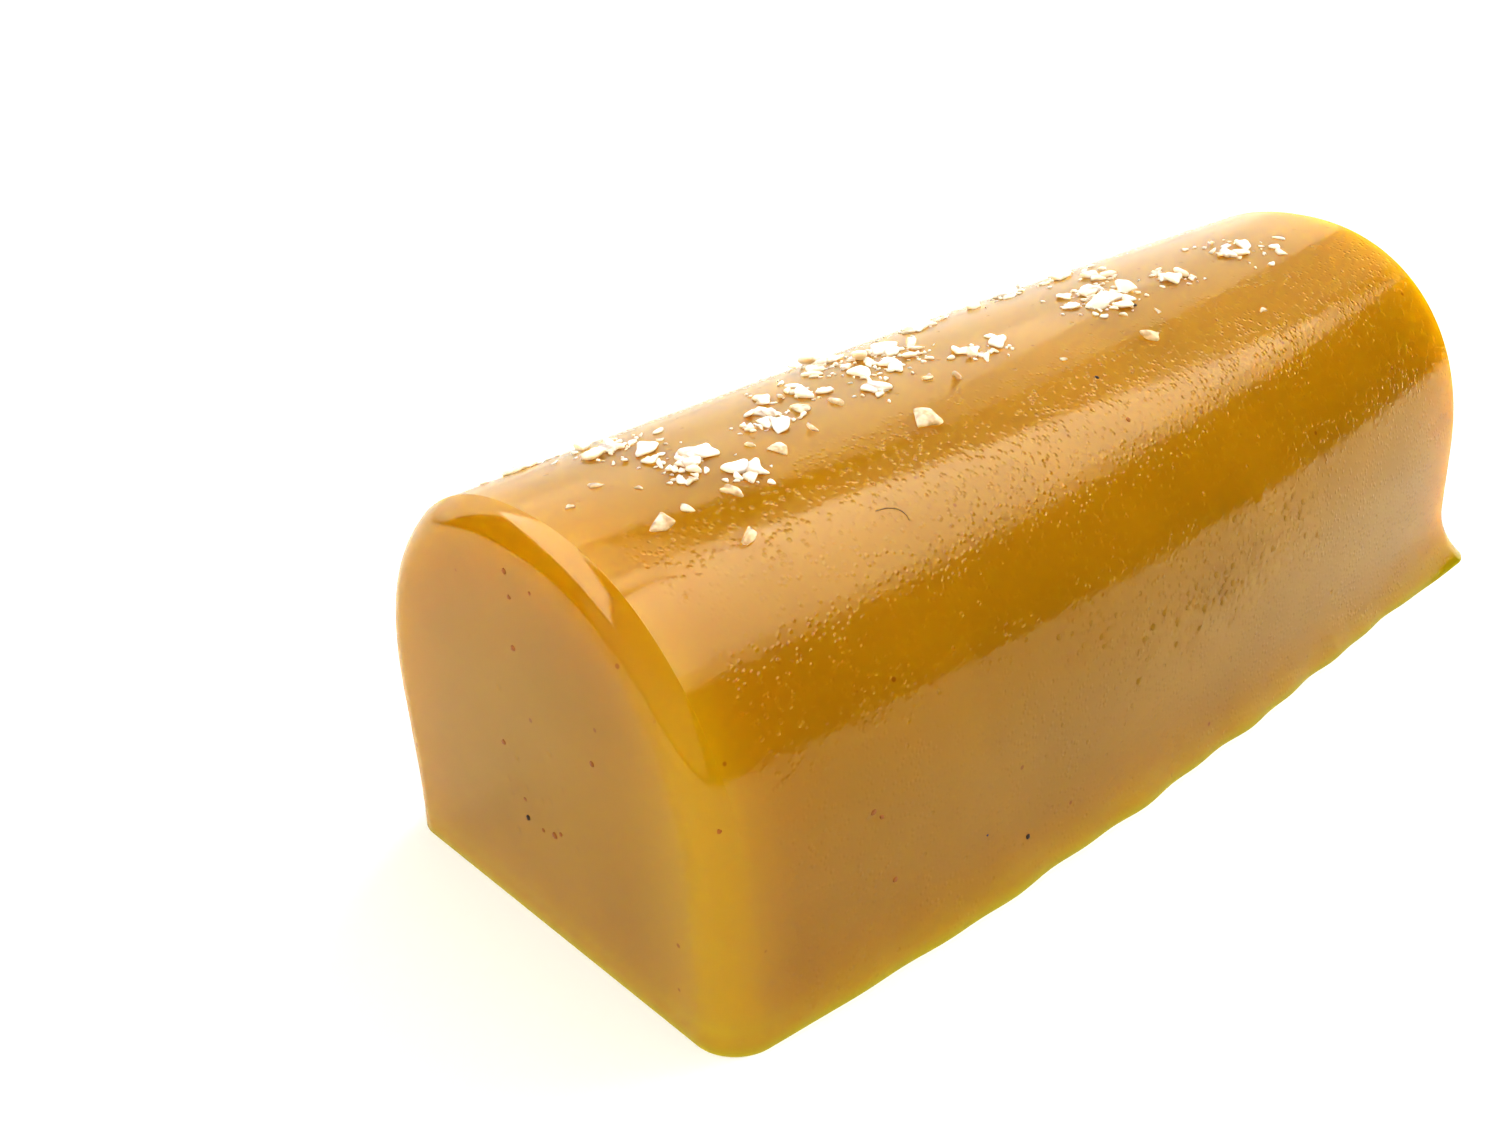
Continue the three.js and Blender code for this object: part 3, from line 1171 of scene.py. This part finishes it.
    def pose(self, grain: Grain) -> Matrix:
        """Lays a grain on the dome, its lower part in the caramel.

        Args:
            grain: The grain.

        Returns:
            The matrix that puts it there.
        """
        normal = self.form.dome_normal(grain.x, grain.y)
        turn = (
            Vector((0, 0, 1)).rotation_difference(normal)
            @ Quaternion((math.cos(grain.heading), math.sin(grain.heading), 0), grain.tilt)
            @ Quaternion((0, 0, 1), grain.spin)
        )
        half_height = (grain.thickness * math.cos(grain.tilt) + grain.size * math.sin(grain.tilt)) / 2
        ground = Vector((grain.x, grain.y, float(self.form.dome_height(grain.x, grain.y))))
        return Matrix.Translation(ground + normal * self.stand * half_height) @ turn.to_matrix().to_4x4()

    def crystal(self, sides: int) -> bpy.types.Object:
        """Models the prism that the grains are copied from.

        Args:
            sides: How many sides it has.

        Returns:
            The prism, to be copied and chipped.
        """
        bpy.ops.object.select_all(action="DESELECT")
        bpy.ops.mesh.primitive_cylinder_add(vertices=sides, radius=1.0, depth=2.0)
        return bpy.context.object

    def copies(self, grains: list[Grain], draws: FixedDraws) -> list[bpy.types.Object]:
        """Copies the plain prisms, each copy chipped and laid on the dome.

        Args:
            grains: Every grain's pose.
            draws: The series of numbers, for the chipping.

        Returns:
            One object for each grain.
        """
        kinds = {sides: self.crystal(sides) for sides in self.sides}
        made = []
        for grain in grains:
            corners, sides = self.outline(grain, draws)
            mesh = kinds[sides].data.copy()
            for corner in mesh.vertices:
                angle = math.atan2(corner.co.x, -corner.co.y) % (2 * math.pi)
                side = round(angle * sides / (2 * math.pi)) % sides
                corner.co = corners[side if corner.co.z > 0 else side + sides]
            mesh.transform(self.pose(grain))
            level = mesh.attributes.new("clearness", "FLOAT", "POINT")
            level.data.foreach_set("value", [grain.clearness] * len(mesh.vertices))
            piece = bpy.data.objects.new("grain", mesh)
            bpy.context.collection.objects.link(piece)
            made.append(piece)
        for kind in kinds.values():
            bpy.data.objects.remove(kind)
        return made

    def build(self) -> bpy.types.Object:
        """Builds the salt.

        Returns:
            One piece, which stands for the solid's grains and rides on the part's body.
        """
        draws = FixedDraws(self.seed)
        salt = joined(self.copies(self.scatter(draws), draws), self.name)
        round_off(salt, self.rounding)
        break_up(salt, self.chip, self.chip_width)
        round_off(salt, 1)
        bpy.ops.object.shade_smooth_by_angle(angle=math.radians(self.facet_angle))
        salt.data.materials.append(self.finish.material(self.name))
        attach(salt, "root")
        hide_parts(CAD_NODE)
        return salt


@dataclass
class SaltCrumbs(CoarseSalt):
    """Thin flakes and crumbs that broke off the coarse grains, and lie round them."""

    name: str = "salt_crumbs"
    seed: int = 4711
    crumbs: float = 3.4                 # for each coarse grain
    wider: float = 1.25
    sizes: Pair = (0.4 * MM, 1.25 * MM)  # most are near the smaller one
    pale: Pair = (0.0, 0.4)             # clearness of the whitest and the clearest
    rounding: int = 1
    chip: float = 0.04 * MM

    def scatter(self, draws: FixedDraws) -> list[Grain]:
        """Scatters the crumbs, drift by drift.

        Args:
            draws: The series of numbers.

        Returns:
            Every crumb's pose.
        """
        grains = []
        for drift in self.drifts:
            for _ in range(round(drift.grains * self.crumbs)):
                x, y = self.place_in(drift, draws)
                size = blended(*self.sizes, draws.next() ** 2)
                grains.append(self.grain_at(x, y, size, blended(*self.pale, draws.next()), draws))
        return grains


# ---------------------------------------------------------------- marks in the skin


@dataclass(frozen=True)
class Speck:
    """A mark in the skin: its place, which the skin nearest to it takes, and its width, in millimetres."""

    x: float
    y: float
    z: float
    width: float


@dataclass
class Specks:
    """Marks of one kind that sit in the skin, as low, ragged lumps."""

    name: str
    finish: SpeckFinish
    specks: tuple[Speck, ...]
    flatness: float = 0.4               # height as a share of the width
    ragged: float = 0.05 * MM           # how far a lump's surface is broken in or out
    ragged_width: float = 0.12 * MM
    fineness: int = 3                   # how finely the balls that they start as are divided

    def build(self, bar: bpy.types.Object) -> bpy.types.Object:
        """Sets the marks on the bar's skin.

        Args:
            bar: The finished bar.

        Returns:
            The marks as one piece, riding on the part's body.
        """
        bpy.ops.object.select_all(action="DESELECT")
        lumps = []
        for speck in self.specks:
            place, outward = on_skin(bar, (speck.x, speck.y, speck.z))
            bpy.ops.mesh.primitive_ico_sphere_add(subdivisions=self.fineness, radius=speck.width / 2 * MM)
            lump = bpy.context.object
            turn = Vector((0, 0, 1)).rotation_difference(outward).to_matrix().to_4x4()
            lump.data.transform(Matrix.Translation(place) @ turn @ Matrix.Diagonal((1, 1, self.flatness, 1)))
            lumps.append(lump)
        piece = joined(lumps, self.name)
        break_up(piece, self.ragged, self.ragged_width)
        bpy.ops.object.shade_smooth()
        piece.data.materials.append(self.finish.material(self.name))
        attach(piece, "root")
        return piece


BURNT = (
    Speck(-38.2, 0.9, 7.0, 0.34),
    Speck(-16.9, -16.0, 3.0, 0.32),
    Speck(8.7, -3.4, 24.8, 0.40),
    Speck(-0.9, -7.7, 23.5, 0.26),
    Speck(-20.2, -15.9, 4.8, 0.14),
)

TOFFEE = (
    Speck(-38.2, -0.3, 22.3, 0.32),
    Speck(-38.2, -0.4, 20.9, 0.26),
    Speck(-38.2, -2.4, 21.8, 0.20),
    Speck(-38.2, -0.1, 17.9, 0.34),
    Speck(-38.2, 2.3, 11.2, 0.34),
    Speck(-38.2, -6.0, 13.7, 0.32),
    Speck(-38.2, 0.9, 8.2, 0.22),
    Speck(-38.2, -0.5, 6.9, 0.24),
    Speck(-38.2, -1.6, 7.1, 0.40),
    Speck(-38.2, -2.2, 7.5, 0.26),
    Speck(-28.4, -15.5, 10.4, 0.36),
    Speck(-27.9, -15.5, 9.9, 0.28),
    Speck(-27.1, -15.6, 5.6, 0.34),
    Speck(-37.4, -14.6, 13.4, 0.24),
    Speck(-1.7, -10.6, 21.8, 0.30),
)


@dataclass(frozen=True)
class PitField:
    """A field of small pits in the long side: its middle, their number and how far they scatter, mm."""

    x: float
    z: float
    pits: int
    along: float
    up: float


@dataclass(frozen=True)
class SidePitShade:
    """Painted shade of small pits in the front side, where bubbles stood against the mould: darker, dull
    marks in place of the shade in the pits.
    """

    fields: tuple[PitField, ...] = (
        PitField(-11.5, 13.2, 9, 2.4, 0.9),
        PitField(-4.5, 11.3, 13, 1.7, 1.0),
        PitField(0.3, 11.0, 15, 1.8, 1.1),
        PitField(4.6, 12.3, 16, 1.9, 1.2),
        PitField(10.3, 12.6, 11, 1.6, 1.5),
        PitField(-11.0, 8.2, 5, 3.0, 1.0),
    )
    side: float = -16.0                 # y of the front side, mm
    widths: Pair = (0.22, 0.42)         # mm
    flatness: float = 0.10
    ragged: float = 0.01 * MM
    seed: int = 9137

    def specks(self) -> tuple[Speck, ...]:
        """Returns the pits' places and widths."""
        draws = FixedDraws(self.seed)
        return tuple(
            Speck(field.x + field.along * draws.around(), self.side, field.z + field.up * draws.around(),
                  blended(*self.widths, draws.next()))
            for field in self.fields for _ in range(field.pits))


@dataclass
class Hair:
    """A fine hair stuck to the skin, in a loose bend, whose places are in millimetres."""

    finish: SpeckFinish
    bend: tuple[Place, ...] = (
        (-21.6, -9.4, 22.5),
        (-20.8, -9.5, 22.5),
        (-20.2, -9.6, 22.4),
        (-20.0, -10.1, 22.0),
        (-20.2, -10.4, 21.8),
    )
    thickness: float = 0.045 * MM
    stand: float = 0.4          # how far its middle line is off the skin, as a share of its thickness
    smoothness: int = 8         # steps between two places of the bend
    roundness: int = 2

    def build(self, bar: bpy.types.Object) -> bpy.types.Object:
        """Lays the hair on the bar's skin.

        Args:
            bar: The finished bar.

        Returns:
            The hair as a piece, riding on the part's body.
        """
        bpy.ops.object.select_all(action="DESELECT")
        bpy.ops.curve.primitive_nurbs_path_add()
        hair = bpy.context.object
        hair.name = hair.data.name = "hair"
        strand = hair.data.splines[0]
        strand.resolution_u = self.smoothness
        for point, target in zip(strand.points, self.bend, strict=True):
            place, outward = on_skin(bar, target)
            point.co = (*(place + outward * self.thickness * self.stand), 1.0)
        hair.data.bevel_depth = self.thickness / 2
        hair.data.bevel_resolution = self.roundness
        hair.data.use_fill_caps = True
        bpy.ops.object.convert(target="MESH")
        bpy.ops.object.shade_smooth()
        piece = bpy.context.object
        piece.data.materials.append(self.finish.material("hair"))
        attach(piece, "root")
        return piece


# ---------------------------------------------------------------- studio


class Shows(Enum):
    """Where a light shows: in the body colour of things, or as a reflection on them."""

    BODY = "body"
    SHINE = "shine"


@dataclass(frozen=True)
class SoftPanel:
    """A soft rectangular light of even brightness, in metres and degrees."""

    name: str
    radiance: float
    azimuth: float                      # from +X towards +Y
    distance: float
    span: Pair                          # from left to right, seen from the bar
    rise: Pair                          # from bottom to top
    shows: Shows = Shows.SHINE
    overhead: bool = False              # a ceiling panel, at the height of its distance

    def build(self) -> bpy.types.Object:
        """Puts the panel up.

        Returns:
            The panel, as an area light that faces the bar.
        """
        width = self.span[1] - self.span[0]
        height = self.rise[1] - self.rise[0]
        light = bpy.data.lights.new(self.name, "AREA")
        light.shape = "RECTANGLE"
        light.size, light.size_y = width, height
        light.energy = math.pi * width * height * self.radiance
        light.cycles.use_multiple_importance_sampling = self.shows is Shows.SHINE
        panel = bpy.data.objects.new(self.name, light)
        panel.visible_diffuse = self.shows is Shows.BODY
        panel.visible_glossy = self.shows is Shows.SHINE
        bpy.context.collection.objects.link(panel)

        heading = math.radians(self.azimuth)
        forward = Vector((math.cos(heading), math.sin(heading), 0))
        right = Vector((math.sin(heading), -math.cos(heading), 0))
        up = Vector((0, 0, 1))
        sides = (-right, up)
        if self.overhead:
            sides = (right, forward)
            forward, up = up, -forward
        middle = forward * self.distance + right * sum(self.span) / 2 + up * sum(self.rise) / 2
        turn = Matrix((*sides, forward)).transposed().to_4x4()
        panel.matrix_world = Matrix.Translation(middle) @ turn
        return panel


@dataclass(frozen=True)
class Window:
    """A tall window whose left edge leans outwards, as rows of panels above each other."""

    azimuth: float = -60
    distance: float = 0.8
    sill: Pair = (0.54, 0.66)
    sill_radiance: float = 2.0
    rows: tuple[float, ...] = (0.66, 0.80, 0.95, 1.10, 1.25, 1.40, 1.60, 1.80, 2.00, 2.30, 2.60)
    radiance: Pair = (3.6, 5.2)         # of the lowest and the highest row
    left: float = -0.96                 # at the height of the sill
    lean: float = -0.40                 # how far that edge moves for each metre up
    right: Pair = (0.48, -0.35)         # below and above the ceiling's edge
    ceiling: float = 1.60

    def panels(self) -> list[SoftPanel]:
        """Lays the window out.

        Returns:
            Its rows, from the sill up.
        """
        view = (self.azimuth, self.distance)
        made = [SoftPanel("window_sill", self.sill_radiance, *view, (self.left, self.right[0]), self.sill)]
        for bottom, top in zip(self.rows, self.rows[1:]):
            share = (bottom - self.rows[0]) / (self.ceiling - self.rows[0])
            radiance = blended(*self.radiance, min(share, 1.0))
            left = self.left + self.lean * ((bottom + top) / 2 - self.rows[0])
            right = self.right[bottom >= self.ceiling]
            made.append(SoftPanel(f"window_{len(made)}", radiance, *view, (left, right), (bottom, top)))
        return made


@dataclass
class Studio:
    """A pale sheet under soft window light, in a dim room, and the camera."""

    lens: float = 36.289
    sensor: float = 36.0
    clip: Pair = (5.0 * MM, 50.0)
    camera_place: Place = (-71.774 * MM, -58.527 * MM, 54.914 * MM)
    camera_turn: Place = (1.10724, 0.05699, -0.73099)       # about X, Y and Z, in radians
    sheet_heading: float = 49.8         # the sheet's long side, degrees from +X
    sheet_right: float = 380.0 * MM     # its right edge: beyond it the room is dark
    sheet_left: float = 420.0 * MM
    sheet_near: float = 260.0 * MM
    sheet_far: float = 1400.0 * MM
    sheet_gap: float = 0.05 * MM        # hair's breadth under the bar, so that light passes there
    sheet_finish: SheetFinish = SheetFinish()
    room: float = 0.10                  # brightness of the dim room
    beyond: float = 1.2                 # and of the white that shows past the sheet
    gamma: float = 0.714                # under 1, the picture has more contrast
    panels: tuple[SoftPanel, ...] = (
        SoftPanel("skylight", 4.2, 0, 1.2, (-0.14, 0.02), (-0.80, -0.45), overhead=True),
        SoftPanel("ceiling", 2.9, 0, 1.2, (-0.14, 0.50), (-0.45, -0.05), overhead=True),
        SoftPanel("ceiling_middle", 2.2, 0, 1.2, (-0.45, -0.14), (-0.73, -0.05), overhead=True),
        SoftPanel("ceiling_edge", 2.2, 0, 1.2, (-0.80, -0.45), (-0.73, -0.05), overhead=True),
        SoftPanel("skylight_side", 2.2, 0, 1.2, (-0.34, -0.14), (-0.73, -0.45), overhead=True),
        SoftPanel("ceiling_back", 5.0, 0, 1.2, (-0.45, 0.10), (0.05, 0.50), overhead=True),
        SoftPanel("behind", 5.5, 140, 0.8, (-0.61, 0.56), (0.60, 1.45)),
        SoftPanel("backdrop", 2.2, 62, 0.7, (-0.75, 0.42), (0.30, 0.90)),
        SoftPanel("backdrop_low", 1.7, 62, 0.7, (-0.75, 0.42), (0.06, 0.30)),
        SoftPanel("backdrop_foot", 1.3, 62, 0.7, (-0.75, 0.63), (0.0, 0.06)),
        SoftPanel("backdrop_edge", 1.5, 62, 0.7, (0.42, 0.70), (0.06, 0.95)),
        SoftPanel("gap_low", 0.7, 8, 1.3, (-0.20, 0.31), (0.55, 1.25)),
        SoftPanel("gap_high", 0.7, 8, 1.3, (-0.20, 0.18), (1.25, 1.95)),
        SoftPanel("room_front", 0.7, -165, 1.0, (-0.80, 0.80), (0.0, 0.62)),
        SoftPanel("room_high", 0.4, -165, 1.0, (-0.80, 0.30), (0.62, 1.60)),
        SoftPanel("fill_left", 2.3, 180, 0.8, (-0.60, 0.60), (0.1, 0.9), Shows.BODY),
        SoftPanel("fill_front", 1.7, -130, 0.8, (-0.60, 0.60), (0.3, 1.1), Shows.BODY),
        SoftPanel("fill_right", 6.6, 0, 0.8, (-0.60, 0.60), (0.1, 0.9), Shows.BODY),
        SoftPanel("fill_top", 2.7, 0, 1.2, (-0.60, 0.64), (-0.84, 0.69), Shows.BODY, overhead=True),
    )

    def camera(self) -> None:
        """Sets the camera up."""
        data = bpy.data.cameras.new("camera")
        data.sensor_width, data.lens = self.sensor, self.lens
        data.clip_start, data.clip_end = self.clip
        camera = bpy.data.objects.new("camera", data)
        camera.location, camera.rotation_euler = self.camera_place, self.camera_turn
        bpy.context.collection.objects.link(camera)
        bpy.context.scene.camera = camera

    def sheet(self) -> None:
        """Lays the pale sheet that the bar stands on."""
        bpy.ops.object.select_all(action="DESELECT")
        bpy.ops.mesh.primitive_plane_add(size=1.0)
        sheet = bpy.context.object
        sheet.name = sheet.data.name = "sheet"
        width, depth = self.sheet_left + self.sheet_right, self.sheet_near + self.sheet_far
        forward, left = (self.sheet_far - self.sheet_near) / 2, (self.sheet_left - self.sheet_right) / 2
        sheet.data.transform(
            Matrix.Rotation(math.radians(self.sheet_heading), 4, "Z")
            @ Matrix.Translation((forward, left, -self.sheet_gap))
            @ Matrix.Diagonal((depth, width, 1, 1))
        )
        sheet.data.materials.append(self.sheet_finish.material())

    def surroundings(self) -> None:
        """Sets the dim room up, with a white background where the camera looks past the sheet."""
        world = bpy.data.worlds.new("room")
        bpy.context.scene.world = world
        world.cycles_visibility.glossy = False
        world.use_nodes = True
        nodes, links = world.node_tree.nodes, world.node_tree.links
        nodes.clear()
        output = nodes.new("ShaderNodeOutputWorld")
        mix = nodes.new("ShaderNodeMixShader")
        links.new(nodes.new("ShaderNodeLightPath").outputs["Is Camera Ray"], mix.inputs[0])
        for strength, socket in zip((self.room, self.beyond), mix.inputs[1:]):
            level = nodes.new("ShaderNodeBackground")
            level.inputs["Color"].default_value = (1, 1, 1, 1)
            level.inputs["Strength"].default_value = strength
            links.new(level.outputs[0], socket)
        links.new(mix.outputs[0], output.inputs["Surface"])

    def picture(self) -> None:
        """Sets how light becomes picture: a plain curve with firm contrast."""
        view = bpy.context.scene.view_settings
        view.view_transform = "Standard"
        view.look = "None"
        view.gamma = self.gamma

    def build(self) -> None:
        """Sets the whole studio up."""
        self.camera()
        self.sheet()
        self.surroundings()
        self.picture()
        for panel in (*Window().panels(), *self.panels):
            panel.build()


def main() -> None:
    """Builds the studio and the candy."""
    logging.basicConfig(level=logging.INFO, format="%(name)s: %(message)s")
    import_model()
    low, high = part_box(CAD_NODE)
    form = BarForm(length=high.x - low.x)

    Studio().build()
    salt = SaltFinish()
    bar = CaramelBar(form, CaramelFinish()).build()
    pits = SidePitShade()
    pieces = [
        bar,
        CoarseSalt(form, salt).build(),
        SaltCrumbs(form, salt).build(),
        Specks("burnt_specks", BURNT_FINISH, BURNT).build(bar),
        Specks("toffee_specks", TOFFEE_FINISH, TOFFEE).build(bar),
        # painted shade of the pits in the front side
        Specks("side_pit_shade", PIT_SHADE_FINISH, pits.specks(), pits.flatness, pits.ragged).build(bar),
        Hair(LINT_FINISH).build(bar),
    ]
    for piece in pieces:
        LOG.info("%s: %d faces, %.1f x %.1f x %.1f mm", piece.name, len(piece.data.polygons),
                 *(side / MM for side in piece.dimensions))


if __name__ == "__main__":
    main()
